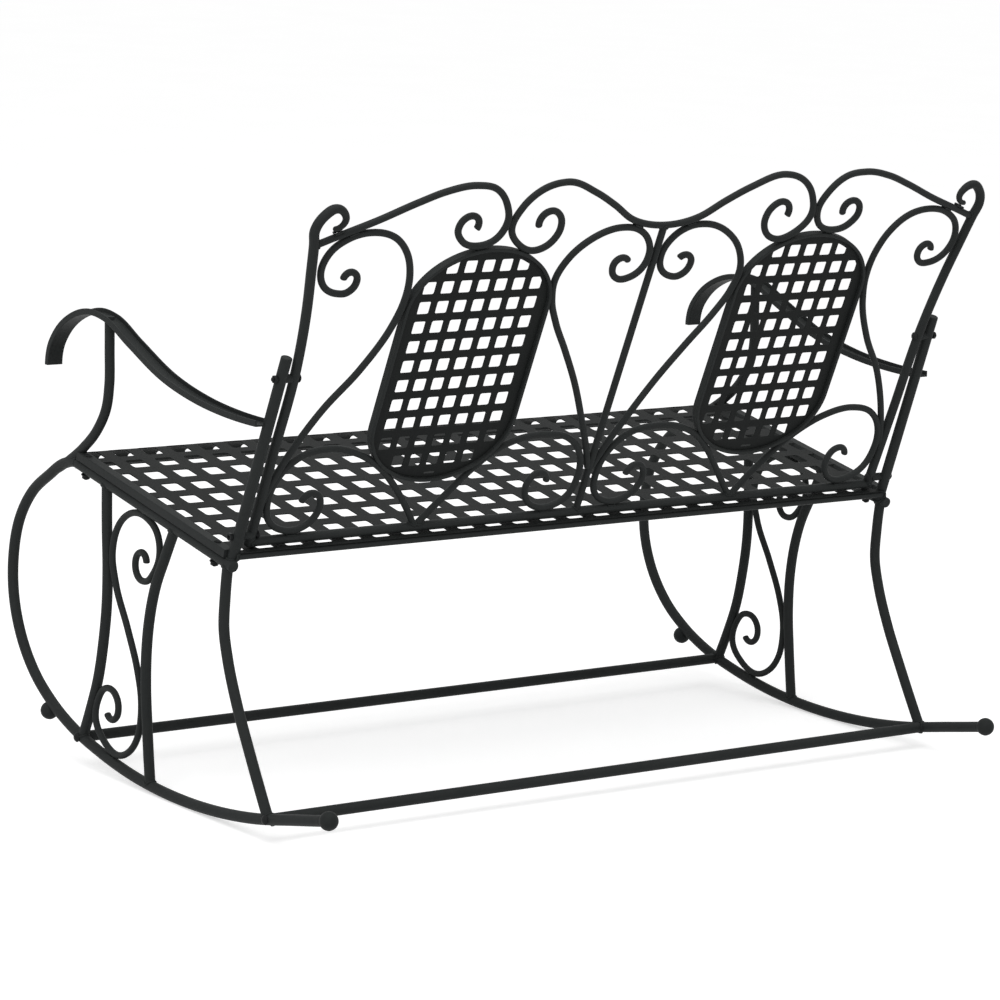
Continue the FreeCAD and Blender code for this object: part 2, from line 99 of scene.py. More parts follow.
CAMERA_PLACE = Vector((3754.9, 4969.6, 1145.0))
CAMERA_LOOK = Vector((-0.5978, -0.7925, -0.1210))
camera = bpy.data.objects.new("camera", bpy.data.cameras.new("camera"))
camera.data.sensor_width = 36.0
camera.data.lens = 152.1
camera.data.clip_end = 60.0
turn = CAMERA_LOOK.to_track_quat("-Z", "Y").to_matrix().to_4x4()
placed = REST @ Matrix.Translation(CAMERA_PLACE) @ turn
placed.translation *= MM
camera.matrix_world = placed
bpy.context.scene.camera = shown(camera)
bpy.context.scene.view_settings.view_transform = "Standard"


# Node trees

def by_math(operation):
    """A method of Socket that adds one Math node."""
    return lambda socket, other: socket.math(operation, other)


class Socket:
    """A node's output, on which Python's operators add Math nodes."""

    def __init__(self, tree, output):
        self.tree = tree
        self.output = output

    def math(self, operation, *others, clamp=False):
        settings = {"operation": operation, "use_clamp": clamp}
        return self.tree.add("ShaderNodeMath", settings, dict(enumerate((self,) + others)))[0]

    def __rsub__(self, other):
        return self.math("MULTIPLY_ADD", -1.0, other)

    def clamped(self):
        return self.math("ADD", 0.0, clamp=True)

    __add__ = __radd__ = by_math("ADD")
    __sub__ = by_math("SUBTRACT")
    __mul__ = __rmul__ = by_math("MULTIPLY")
    __truediv__ = by_math("DIVIDE")
    __pow__ = by_math("POWER")
    __lt__ = by_math("LESS_THAN")
    __gt__ = by_math("GREATER_THAN")
    least = by_math("MINIMUM")
    most = by_math("MAXIMUM")


class Made:
    """A node that add() made: its outputs by name, identifier or number, or else its first."""

    def __init__(self, tree, node):
        self.tree = tree
        self.node = node

    def __getitem__(self, key):
        outputs = self.node.outputs
        if isinstance(key, int):
            return Socket(self.tree, outputs[key])
        for output in outputs:
            if key in (output.identifier, output.name):
                return Socket(self.tree, output)
        raise KeyError(key)


class Tree:
    """A node tree that nodes are added to, one call for each."""

    def __init__(self, tree):
        self.tree = tree

    def add(self, kind, settings=None, values=None):
        """Adds a node: its settings first, then the values or links of its sockets."""
        node = self.tree.nodes.new(kind)
        for name, value in (settings or {}).items():
            if name == "stops":
                ramp = node.color_ramp.elements
                while len(ramp) < len(value):
                    ramp.new(0.5)
                for element, (place, colour) in zip(ramp, value):
                    element.position = place
                    element.color = colour
            else:
                setattr(node, name, value)
        for key, value in (values or {}).items():
            if isinstance(key, int):
                socket = node.inputs[key]
            else:
                socket = next(s for s in node.inputs if key in (s.identifier, s.name))
            if isinstance(value, (Socket, Made, list)):
                for source in value if isinstance(value, list) else [value]:
                    source = source[0] if isinstance(source, Made) else source
                    self.tree.links.new(source.output, socket)
            else:
                socket.default_value = value
        return Made(self, node)

    def parts(self, vector):
        return self.add("ShaderNodeSeparateXYZ", values={"Vector": vector})

    def vector(self, **parts):
        return self.add("ShaderNodeCombineXYZ", values=parts)

    def noise(self, where, scale, detail):
        return self.add("ShaderNodeTexNoise", values={
            "Vector": where, "Scale": scale, "Detail": detail})["Fac"]

    def mixed(self, share, one, other):
        return self.add("ShaderNodeMix", {"data_type": "RGBA"}, {
            "Factor_Float": share, "A_Color": one, "B_Color": other})["Result_Color"]

    def moved(self, geometry, **where):
        return self.add("GeometryNodeSetPosition", values={"Geometry": geometry, **where})

    def swept(self, line, section, scale):
        return self.add("GeometryNodeCurveToMesh", values={
            "Curve": line, "Profile Curve": section, "Scale": scale, "Fill Caps": True})

    def even(self, line, step):
        return self.add("GeometryNodeResampleCurve", {"mode": "LENGTH"},
                        {"Curve": line, "Length": step})

    def object(self, given):
        return self.add("GeometryNodeObjectInfo", values={"Object": given})["Geometry"]


def shape_tree(name, inputs):
    """An empty Geometry Nodes tree with named inputs after its geometry."""
    group = bpy.data.node_groups.new(name, "GeometryNodeTree")
    group.interface.new_socket("Geometry", in_out="INPUT", socket_type="NodeSocketGeometry")
    group.interface.new_socket("Geometry", in_out="OUTPUT", socket_type="NodeSocketGeometry")
    for label, kind in inputs.items():
        group.interface.new_socket(label, in_out="INPUT", socket_type="NodeSocket" + kind)
    tree = Tree(group)
    return tree, tree.add("NodeGroupInput")


def end_tree(tree, geometry, material, crease=None):
    """Closes a tree: real meshes, the finish, and smooth shading but for edges over the crease."""
    real = tree.add("GeometryNodeRealizeInstances", values={"Geometry": geometry})
    smooth = tree.add("GeometryNodeSetShadeSmooth", values={"Geometry": real})
    if crease is not None:
        angle = tree.add("GeometryNodeInputMeshEdgeAngle")["Unsigned Angle"]
        smooth = tree.add("GeometryNodeSetShadeSmooth", {"domain": "EDGE"}, {
            "Geometry": smooth, "Selection": angle > crease, "Shade Smooth": False})
    coated = tree.add("GeometryNodeSetMaterial", values={"Geometry": smooth, "Material": material})
    tree.add("NodeGroupOutput", values={"Geometry": coated})
    return tree.tree


def rod_tree():
    """Round rod along one line: rounded ends, and a taper before its finish."""
    tree, given = shape_tree("round rod", {
        "Width": "Float", "Round": "Float", "Tip": "Float", "Taper": "Float", "Step": "Float",
        "Sides": "Int", "Finish": "Material"})
    path = given["Geometry"]
    length = tree.add("GeometryNodeCurveLength", values={"Curve": path})["Length"]
    rings = 5
    last = (length / given["Step"]).math("FLOOR") + 2 * rings
    line = tree.add("GeometryNodeCurvePrimitiveLine", values={"End": (1, 0, 0)})
    line = tree.add("GeometryNodeResampleCurve", {"mode": "COUNT"}, {"Curve": line, "Count": last + 1})
    index = tree.add("GeometryNodeInputIndex")["Index"]
    from_end = index.least(last - index)
    angle = from_end.least(rings) * (math.pi / 2 / rings)
    near = given["Round"] * (1 - angle.math("COSINE"))
    run = (length - given["Round"] * 2) * ((index - rings) / (last - 2 * rings))
    inside = from_end > rings - 0.5
    second = index > last * 0.5
    place = inside * (given["Round"] + run)
    place = place + (1 - inside) * (near + second * (length - near * 2))
    spot = tree.add("GeometryNodeSampleCurve", {"mode": "LENGTH"}, {"Curves": path, "Length": place})
    line = tree.moved(line, Position=spot["Position"])
    share = ((length - place) / given["Taper"]).clamped()
    radius = (given["Tip"] + (given["Width"] - given["Tip"]) * share) * 0.5
    radius = radius - given["Round"] * (1 - angle.math("SINE"))
    ring = tree.add("GeometryNodeCurvePrimitiveCircle", values={
        "Resolution": given["Sides"], "Radius": 1.0})
    return end_tree(tree, tree.swept(line, ring, radius), given["Finish"])


def bar_tree():
    """Bar of one section along a line."""
    tree, given = shape_tree("bent bar", {
        "Section": "Object", "Across": "Vector", "Step": "Float", "Finish": "Material"})
    line = tree.even(given["Geometry"], given["Step"])
    line = tree.add("GeometryNodeSetCurveNormal", {"mode": "FREE"},
                    {"Curve": line, "Normal": given["Across"]})
    return end_tree(tree, tree.swept(line, tree.object(given["Section"]), 1.0), given["Finish"])


def punched_tree():
    """Flat sheet with a hole round every point, which can be rolled down at its front edge."""
    tree, given = shape_tree("punched sheet", {
        "Holes": "Object", "Hole": "Object", "Thickness": "Float", "Roll start": "Float",
        "Roll radius": "Float", "Finish": "Material"})
    holes = tree.add("GeometryNodeInstanceOnPoints", values={
        "Points": tree.object(given["Holes"]), "Instance": tree.object(given["Hole"])})
    holes = tree.add("GeometryNodeRealizeInstances", values={"Geometry": holes})
    outlines = tree.add("GeometryNodeJoinGeometry", values={"Geometry": [given["Geometry"], holes]})
    lower = tree.add("GeometryNodeFillCurve", {"mode": "TRIANGLES"}, {"Curve": outlines})
    lower = tree.moved(lower, Offset=tree.vector(Z=given["Thickness"] * -0.5))
    upper = tree.add("GeometryNodeExtrudeMesh", {"mode": "FACES"}, {
        "Mesh": lower, "Offset": tree.vector(Z=given["Thickness"]), "Offset Scale": 1.0,
        "Individual": False})
    under = tree.add("GeometryNodeFlipFaces", values={"Mesh": lower})
    sheet = tree.add("GeometryNodeJoinGeometry", values={"Geometry": [upper, under]})
    sheet = tree.add("GeometryNodeMergeByDistance", values={"Geometry": sheet, "Distance": 0.000002})
    here = tree.parts(tree.add("GeometryNodeInputPosition"))
    past = (here["Y"] - given["Roll start"]).most(0.0)
    angle = past / given["Roll radius"]
    reach = given["Roll radius"] + here["Z"]
    sheet = tree.moved(sheet, Position=tree.vector(
        X=here["X"],
        Y=here["Y"] - past + reach * angle.math("SINE"),
        Z=here["Z"] - reach * (1 - angle.math("COSINE"))))
    return end_tree(tree, sheet, given["Finish"], crease=0.5)


def weld_tree():
    """Beads of weld along lines, with the ripples of a hand-held torch."""
    tree, given = shape_tree("weld bead", {
        "Width": "Float", "Ripple": "Float", "Step": "Float", "Seed": "Float", "Finish": "Material"})
    line = tree.even(given["Geometry"], given["Step"])
    here = tree.add("GeometryNodeInputPosition")
    lumps = tree.add("ShaderNodeTexNoise", {"noise_dimensions": "4D"},
                     {"Vector": here, "W": given["Seed"], "Scale": 260.0, "Detail": 1.0})["Fac"]
    travelled = tree.add("GeometryNodeSplineParameter")["Length"]
    ripple = (travelled / given["Ripple"] * math.pi).math("SINE").math("ABSOLUTE")
    radius = given["Width"] * (0.33 + lumps * 0.26 + ripple * 0.09)
    ring = tree.add("GeometryNodeCurvePrimitiveCircle", values={"Resolution": 8, "Radius": 1.0})
    return end_tree(tree, tree.swept(line, ring, radius), given["Finish"])


def set_out_tree():
    """Copies of one piece at marked points, each turned to its point's axis."""
    tree, given = shape_tree("set out", {"Piece": "Object", "Finish": "Material"})
    axis = tree.add("GeometryNodeInputNamedAttribute", {"data_type": "FLOAT_VECTOR"},
                    {"Name": "axis"})["Attribute"]
    turn_to = tree.add("FunctionNodeAlignRotationToVector", {"axis": "Z"}, {"Vector": axis})
    copies = tree.add("GeometryNodeInstanceOnPoints", values={
        "Points": given["Geometry"], "Instance": tree.object(given["Piece"]), "Rotation": turn_to})
    return end_tree(tree, copies, given["Finish"])


ROD_TREE = rod_tree()
BAR_TREE = bar_tree()
PUNCHED_TREE = punched_tree()
WELD_TREE = weld_tree()
SET_OUT_TREE = set_out_tree()


def settled(source, tree, values, name, soften=None):
    """The plain mesh that a tree makes of an object, as a new piece; soften bevels its edges."""
    shown(source)
    modifier = source.modifiers.new("shape", "NODES")
    modifier.node_group = tree
    for item in tree.interface.items_tree:
        if item.in_out == "INPUT" and item.name in values:
            modifier[item.identifier] = values[item.name]
    if soften:
        bevel = source.modifiers.new("soften", "BEVEL")
        bevel.width = soften
        bevel.segments = 1
        bevel.limit_method = "ANGLE"
        bevel.angle_limit = math.radians(50)
    depsgraph = bpy.context.evaluated_depsgraph_get()
    mesh = bpy.data.meshes.new_from_object(source.evaluated_get(depsgraph), depsgraph=depsgraph)
    source.modifiers.clear()
    bpy.data.objects.remove(source)
    mesh.name = name
    return shown(bpy.data.objects.new(name, mesh))


# Finishes

def finish(name):
    material = bpy.data.materials.new(name)
    material.use_nodes = True
    material.node_tree.nodes.clear()
    return material, Tree(material.node_tree)


SCUFF_HEIGHT = 0.0016      # metres above the floor up to which the rockers are rubbed bare
BARE_STEEL = (0.21, 0.205, 0.2, 1)


def powder_coat(name, deep, pale, gloss, grain=1.0, scuffed=False):
    """Baked powder coat: fine orange peel, faint cloudiness, a little dust on top, and scuffs below."""
    material, tree = finish(name)
    where = tree.add("ShaderNodeTexCoord")["Object"]
    upward = tree.parts(tree.add("ShaderNodeNewGeometry")["Normal"])["Z"]
    clouds = tree.noise(where, 9.0, 4.0)
    specks = tree.noise(where, 210.0, 3.0)
    peel = tree.noise(where, 620.0, 2.0)
    sand = tree.noise(where, 1900.0, 1.0)
    dust = (upward.most(0.0) ** 2) * ((clouds + specks - 0.75) * 1.6).clamped() * 0.5
    tone = ((clouds - 0.5) * 0.9 + (specks - 0.5) * 0.5 + 0.5 + dust * 0.6).clamped()
    colour = tree.mixed(tone, deep, pale)
    rough = gloss + (clouds - 0.5) * 0.10 + (sand - 0.5) * 0.08 + dust * 0.2
    metal = 0.0
    if scuffed:
        rubbed = ((SCUFF_HEIGHT - tree.parts(where)["Z"]) * 900.0 + (specks - 0.5) * 5.0).clamped()
        colour = tree.mixed(rubbed, colour, BARE_STEEL)
        rough = rough - rubbed * 0.12
        metal = rubbed * 0.8
    bump = tree.add("ShaderNodeBump", values={
        "Strength": 0.30 * grain, "Distance": 0.0004, "Height": peel * 0.7 + sand * 0.3})
    shader = tree.add("ShaderNodeBsdfPrincipled", values={
        "Base Color": colour, "Roughness": rough, "Metallic": metal, "Specular IOR Level": 0.05,
        "Normal": bump})
    tree.add("ShaderNodeOutputMaterial", values={"Surface": shader})
    return material


TUBE_TONES = ((0.0185, 0.0205, 0.0204, 1), (0.0315, 0.0342, 0.0338, 1))
tube_coat = powder_coat("tube coat", *TUBE_TONES, 0.50)
rocker_coat = powder_coat("rocker coat", *TUBE_TONES, 0.50, scuffed=True)
sheet_coat = powder_coat("sheet coat", (0.0101, 0.0113, 0.0112, 1), (0.0175, 0.0191, 0.0187, 1), 0.53,
                         grain=0.8)
ball_coat = powder_coat("ball coat", (0.0163, 0.0184, 0.0182, 1), (0.0275, 0.0301, 0.0297, 1), 0.52,
                        grain=1.6)
weld_coat = powder_coat("weld coat", (0.0178, 0.0199, 0.0197, 1), (0.0301, 0.0329, 0.0324, 1), 0.50,
                        grain=1.3)
bolt_coat = powder_coat("bolt coat", (0.0106, 0.0115, 0.0117, 1), (0.0250, 0.0264, 0.0269, 1), 0.38,
                        grain=0.6)


# Lines: points joined by curves that leave each point in the heading of the circle
# through its neighbours

def headings(points, start, finish):
    result = [None]
    for before, here, after in zip(points, points[1:], points[2:]):
        arrive, leave = here - before, after - here
        result.append((arrive.normalized() * leave.length
                       + leave.normalized() * arrive.length).normalized())
    result.append(None)
    for end, inner in ((0, 1), (-1, -2)):
        if len(points) == 2:
            result[end] = (points[1] - points[0]).normalized()
            continue
        chord = (points[inner] - points[end]).normalized()
        result[end] = (chord * (2 * chord.dot(result[inner])) - result[inner]).normalized()
    if start is not None:
        result[0] = start.normalized()
    if finish is not None:
        result[-1] = finish.normalized()
    return result


class Line:
    """A bent line in the drawn position, in millimetres."""

    def __init__(self, points, start=None, finish=None, closed=False):
        self.points = points
        self.headings = headings(points, start, finish)
        self.closed = closed

    def handles(self):
        """Each point with the handles before and after it, so that each span is nearly an arc."""
        count = len(self.points)
        before = [0.0] * count
        after = [0.0] * count
        spans = [(i, i + 1) for i in range(count - 1)] + ([(count - 1, 0)] if self.closed else [])
        for i, j in spans:
            cosine = max(-1.0, min(1.0, self.headings[i].dot(self.headings[j])))
            quarter = math.acos(cosine) / 4
            reach = (self.points[j] - self.points[i]).length / (3 * math.cos(quarter) ** 2)
            after[i] = before[j] = reach
        return [(p, p - h * b, p + h * a)
                for p, h, b, a in zip(self.points, self.headings, before, after)]

    def add_to(self, curve):
        spline = curve.splines.new("BEZIER")
        spline.bezier_points.add(len(self.points) - 1)
        spline.resolution_u = 24
        for knot, (place, left, right) in zip(spline.bezier_points, self.handles()):
            knot.handle_left_type = knot.handle_right_type = "FREE"
            knot.co, knot.handle_left, knot.handle_right = at_rest(place), at_rest(left), at_rest(right)
        spline.use_cyclic_u = self.closed

    def samples(self, spacing=2.5):
        """Points and headings at about even spacing, for finding where rods touch."""
        knots = self.handles()
        places, ways = [], []
        for (p, _, a), (q, b, _) in zip(knots, knots[1:]):
            steps = max(1, round((q - p).length / spacing))
            for k in range(steps):
                t = k / steps
                s = 1 - t
                places.append(p * s ** 3 + a * 3 * s * s * t + b * 3 * s * t * t + q * t ** 3)
                ways.append(((a - p) * s * s + (b - a) * 2 * s * t + (q - b) * t * t).normalized())
        places.append(self.points[-1])
        ways.append(self.headings[-1])
        return numpy.array(places), numpy.array(ways)


def curve_object(lines):
    curve = bpy.data.curves.new("lines", "CURVE")
    curve.dimensions = "3D"
    for line in lines:
        line.add_to(curve)
    return bpy.data.objects.new("lines", curve)


rods = {}                  # every round rod by name: its line and width, for the welds
pieces = {}                # every finished piece by name: the nodes it stands for and its slot


def keep(piece, stands_for, slot="tube_coating"):
    pieces[piece.name] = (piece, stands_for, slot)


def rod(name, node, line, width, edge=1.2, tip=None, taper=40.0, coat=tube_coat, sides=18, step=2.6):
    """Round rod that stands for a node."""
    rods[name] = (line, width)
    values = {"Width": width * MM, "Round": edge * MM, "Tip": (tip or width) * MM,
              "Taper": taper * MM, "Step": step * MM, "Sides": sides, "Finish": coat}
    keep(settled(curve_object([line]), ROD_TREE, values, name), [node])


def outline_object(outlines):
    """Closed outlines in the flat, each a list of (x, y) in millimetres."""
    curve = bpy.data.curves.new("outlines", "CURVE")
    curve.dimensions = "3D"
    for outline in outlines:
        spline = curve.splines.new("POLY")
        spline.points.add(len(outline) - 1)
        for knot, (x, y) in zip(spline.points, outline):
            knot.co = (x * MM, y * MM, 0, 1)
        spline.use_cyclic_u = True
    return bpy.data.objects.new("outlines", curve)


def section(corners, radius, steps=3, margin=0.35):
    """Closed section with rounded corners, and a point close to each side of every corner."""
    outline = []
    count = len(corners)
    for i, corner in enumerate(corners):
        corner = Vector(corner)
        back = (Vector(corners[i - 1]) - corner).normalized()
        ahead = (Vector(corners[(i + 1) % count]) - corner).normalized()
        outline.append(corner + back * (radius + margin))
        centre = corner + (back + ahead) * radius
        for k in range(steps + 1):
            angle = math.pi / 2 * k / steps
            outline.append(centre - ahead * (radius * math.cos(angle))
                           - back * (radius * math.sin(angle)))
        outline.append(corner + ahead * (radius + margin))
    return shown(outline_object([outline]))


def rectangle(width, thickness, radius, steps=3):
    x, y = width / 2, thickness / 2
    return section([(-x, -y), (x, -y), (x, y), (-x, y)], radius, steps)


def bar(name, node, line, shape, across, step=3.0):
    """Bar of any section that stands for a node."""
    values = {"Section": shape, "Across": turned(across), "Step": step * MM, "Finish": tube_coat}
    keep(settled(curve_object([line]), BAR_TREE, values, name), [node])
    bpy.data.objects.remove(shape)


# Punched sheets, drawn flat about their own origin and then put in place

def window(wide, high, corner, x=0.0, y=0.0, steps=4, side_step=None):
    """Outline of a hole with rounded corners, and points at a step along its upright sides."""
    outline = []
    for quarter, (i, j) in enumerate(((1, 1), (-1, 1), (-1, -1), (1, -1))):
        centre = Vector((x + i * (wide / 2 - corner), y + j * (high / 2 - corner)))
        for k in range(steps + 1):
            angle = math.pi / 2 * (quarter + k / steps)
            outline.append(centre + Vector((math.cos(angle), math.sin(angle))) * corner)
        if side_step and quarter in (1, 3):
            run = high - 2 * corner
            count = math.ceil(run / side_step)
            outline += [outline[-1] + Vector((0, -j * run * k / count)) for k in range(1, count)]
    return outline


def clipped(outline, border):
    """The part of an outline inside a convex border that runs anticlockwise."""
    for a, b in zip(border, border[1:] + border[:1]):
        edge = b - a
        kept = []
        for p, q in zip(outline, outline[1:] + outline[:1]):
            p_inside, q_inside = edge.cross(p - a), edge.cross(q - a)
            if p_inside >= 0:
                kept.append(p)
            if (p_inside < 0) != (q_inside < 0):
                kept.append(p + (q - p) * (p_inside / (p_inside - q_inside)))
        outline = kept
        if not outline:
            break
    return outline


def outline_area(outline):
    return sum(p.cross(q) for p, q in zip(outline, outline[1:] + outline[:1])) / 2


FLAT = (1.0e6, 1.0)        # a roll that never starts


def punched(name, stands_for, outlines, hole, spots, origin, along, up, roll=FLAT):
    """Punched sheet: its own outlines, and one hole repeated at the spots."""
    mesh = bpy.data.meshes.new("spots")
    mesh.from_pydata([(x * MM, y * MM, 0) for x, y in spots], [], [])
    holes = bpy.data.objects.new("spots", mesh)
    shape = outline_object([hole])
    for helper in (holes, shape):
        shown(helper)
    values = {"Holes": holes, "Hole": shape, "Thickness": SHEET * MM, "Roll start": roll[0] * MM,
              "Roll radius": roll[1] * MM, "Finish": sheet_coat}
    piece = settled(outline_object(outlines), PUNCHED_TREE, values, name, soften=EDGE_SOFT * MM)
    for helper in (holes, shape):
        bpy.data.objects.remove(helper)
    place = Matrix((turned(along), turned(up), turned(along.cross(up)))).transposed().to_4x4()
    place.translation = at_rest(origin)
    piece.data.transform(place)
    keep(piece, stands_for, "strip_coating")


SHEET = 1.5
EDGE_SOFT = 0.3            # width of the worn edge of a punched sheet

# Side frames

RAIL_DROP = 0.2642
RAIL_FRONT = (-222.0, 461.9)
RAIL_BACK_Y = 183.0
REAR_BALL = (408.0, 38.0)
STOP_BALL = (-310.0, 89.0)
FRONT_BAR = (-220.0, 62.5)
REAR_BAR = (268.0, 18.0)
SIDES = (("left", 1), ("right", -1))


def rail_height(y):
    return RAIL_FRONT[1] - RAIL_DROP * (y - RAIL_FRONT[0])


ROCKER = [REAR_BALL, (330, 26.8), (225, 12.8), (120, 8), (15, 12.8), (-90, 27.6), (-171, 47.5),
          (-240, 70.5), (-302, 102), (-352, 141), (-390, 194), (-408, 250), (-408, 303),
          (-390, 361), (-352, 407), (-302, 437.5), (-258, 458.5), RAIL_FRONT]
REAR_LEG = [(169, rail_height(169)), (161, 312), (157.5, 265), (166, 225), (187, 168),
            (218, 104), (262, 20)]
REAR_MID_LEG = [(36, rail_height(36)), (8, 348), (-17, 305), (-33, 260), (-41, 220), (-45, 160),
                (-42, 95), (-36, 18)]
FRONT_MID_LEG = [(-143, rail_height(-143)), (-144.5, 380), (-144, 315), (-148, 260),
                 (-157, 212), (-174, 152), (-194, 108), (-218, 62)]
SIDE_SCROLL = [(-40, 336), (-47, 349), (-62, 347), (-69.5, 332), (-62, 314), (-42, 310),
               (-22, 323.5), (-5.5, 351.5), (-12, 383), (-36, 400), (-70, 405), (-105, 390),
               (-130.5, 340), (-122, 297), (-92, 237), (-67, 180), (-57.8, 140), (-58.5, 117),
               (-68, 84), (-90, 60), (-122, 49.6), (-158, 64), (-181.5, 97), (-173.5, 124),
               (-152, 143), (-128, 138), (-119, 120), (-124, 105), (-137, 99), (-150, 107)]
ARM_POST = [(-131, 679.5), (-132, 631), (-134, 581), (-142, 549), (-167, 515), (-205, 486),
            (-244, 464.5), (-286, 446)]
ARMREST = [(-286, 600), (-280, 625), (-262, 648), (-217, 675), (-170, 684), (-127, 677),
           (-66, 646), (21, 604), (106, 579), (180, 566), (257, 559)]
ARM_WIDTH = 25.0
ARM_HEIGHT = 9.0
ARM_SHEET = 2.5
SUPPORT_FOOT = (595.2, 168.5, 357.0)
SUPPORT_TOP = (587.0, 296.0, 650.0)


def channel():
    """Section of the armrest: a strip with its edges turned down."""
    half, high, sheet = ARM_WIDTH / 2, ARM_HEIGHT / 2, ARM_SHEET
    return [(-half, high), (-half, -high), (-half + sheet, -high), (-half + sheet, high - sheet),
            (half - sheet, high - sheet), (half - sheet, -high), (half, -high), (half, high)]


for word, side in SIDES:
    def in_frame(points, start=None, finish=None):
        return Line([on_frame(side, y, z) for y, z in points], start, finish)

    rail_heading = Vector((0, 1, -RAIL_DROP))
    rod(word + "_rocker_tube", word + "_rocker", in_frame(ROCKER, finish=rail_heading), MAIN_TUBE,
        coat=rocker_coat, sides=24)
    rail = in_frame([RAIL_FRONT, (RAIL_BACK_Y, rail_height(RAIL_BACK_Y))])
    rod(word + "_side_rail_tube", word + "_side_rail", rail, MAIN_TUBE, sides=24)
    for part, points in (("rear_leg", REAR_LEG), ("rear_mid_leg", REAR_MID_LEG),
                         ("front_mid_leg", FRONT_MID_LEG)):
        rod(word + "_" + part + "_tube", word + "_" + part, in_frame(points), LEG_TUBE, sides=20)
    rod(word + "_side_scroll_rod", word + "_side_scroll", in_frame(SIDE_SCROLL), ROD, edge=2.4)
    rod(word + "_arm_post_tube", word + "_arm_post", in_frame(ARM_POST), POST_TUBE, sides=20)
    foot, top = (Vector((side * x, y, z)) for x, y, z in (SUPPORT_FOOT, SUPPORT_TOP))
    rod(word + "_back_support_tube", word + "_back_support", Line([foot, top]), MAIN_TUBE, edge=1.6,
        sides=24)
    bar(word + "_armrest_channel", word + "_armrest", in_frame(ARMREST),
        section(channel(), 0.9, 2, 0.25), ALONG)

for name, (y, z) in (("front_crossbar", FRONT_BAR), ("rear_crossbar", REAR_BAR)):
    end = FRAME_X - MAIN_TUBE / 2
    rod(name + "_tube", name, Line([Vector((-end, y, z)), Vector((end, y, z))]), MAIN_TUBE, edge=0.4,
        sides=24, step=12.0)

# Seat

RAIL_WIDE = 16.0
RAIL_BOTTOM = -11.0
RAIL_TOP = 1.0
RAIL_ENDS = (-4.0, 392.0)
SEAT_END = FRAME_X - RAIL_WIDE / 2
ROD_DROP = 6.6             # the rods under the seat lie this far below the middle of its sheet
REAR_ROD = -14.0
FRONT_ROD = 365.0
HOLE_PITCH = (49.3, 48.6)
HOLE = (27.4, 28.6)
HOLE_ROUND = 3.5
HOLE_COLUMNS = 25
HOLE_ROWS = 7
FIRST_ROW = 39.1
REAR_HOLE = (-9.0, 7.0)
REAR_END = -19.0
ROLL_START = 383.0
ROLL_RADIUS = 32.5
LAST_ROW = (361.5, 393.0)
LIP_ROW = (414.5, 428.0)   # short holes on the rolled edge, below the last row
ROLL_END = 436.0           # the sheet's front end, measured along the roll
ROLL_STEP = 3.0            # spacing of points on what is rolled

for word, side in SIDES:
    middle = (RAIL_TOP + RAIL_BOTTOM) / 2
    ends = [on_seat(side * FRAME_X, b, middle) for b in RAIL_ENDS]
    bar(word + "_seat_rail_bar", word + "_seat_rail", Line(ends),
        rectangle(RAIL_WIDE, RAIL_TOP - RAIL_BOTTOM, 1.2), ALONG, step=12.0)
for name, b in (("seat_rear_rod", REAR_ROD), ("seat_front_rod", FRONT_ROD)):
    ends = [on_seat(way * SEAT_END, b, -ROD_DROP) for way in (-1, 1)]
    rod(name + "_bar", name, Line(ends), ROD, edge=0.4, step=12.0)


def seat_outlines():
    """Edge of the seat sheet, open at the holes beside the rails, and the rear and front holes."""
    half_count = HOLE_COLUMNS // 2
    middles = [FIRST_ROW + HOLE_PITCH[1] * k for k in range(HOLE_ROWS)]
    rows = [REAR_HOLE] + [(y - HOLE[1] / 2, y + HOLE[1] / 2) for y in middles] + [LAST_ROW, LIP_ROW]
    notch = HOLE_PITCH[0] * half_count - HOLE[0] / 2
    right = [(SEAT_END, REAR_END)]
    for start, end in rows:
        count = math.ceil((end - start) / ROLL_STEP) if end > ROLL_START else 1
        right.append((SEAT_END, start))
        right += [(notch + HOLE_ROUND * (1 - math.sin(a)), start + HOLE_ROUND * (1 - math.cos(a)))
                  for a in (0, math.pi / 6, math.pi / 3)]
        run = end - start - 2 * HOLE_ROUND
        right += [(notch, start + HOLE_ROUND + run * k / count) for k in range(count + 1)]
        right += [(notch + HOLE_ROUND * (1 - math.cos(a)), end - HOLE_ROUND * (1 - math.sin(a)))
                  for a in (math.pi / 6, math.pi / 3, math.pi / 2)]
        right.append((SEAT_END, end))
    right.append((SEAT_END, ROLL_END))
    outlines = [right + [(-x, y) for x, y in reversed(right)]]
    for k in range(1 - half_count, half_count):
        for start, end in (REAR_HOLE, LAST_ROW, LIP_ROW):
            step = ROLL_STEP if end > ROLL_START else None
            outlines.append(window(HOLE[0], end - start, HOLE_ROUND, HOLE_PITCH[0] * k,
                                   (start + end) / 2, side_step=step))
    return outlines


seat_spots = [(HOLE_PITCH[0] * k, FIRST_ROW + HOLE_PITCH[1] * row)
              for k in range(1 - HOLE_COLUMNS // 2, HOLE_COLUMNS // 2) for row in range(HOLE_ROWS)]
punched("seat_sheet", ["seat_cross_strips", "seat_long_strips"],
        seat_outlines(), window(HOLE[0], HOLE[1], HOLE_ROUND), seat_spots,
        on_seat(0, 0), -ALONG, SEAT_FORWARD, (ROLL_START, ROLL_RADIUS))

# Back frame

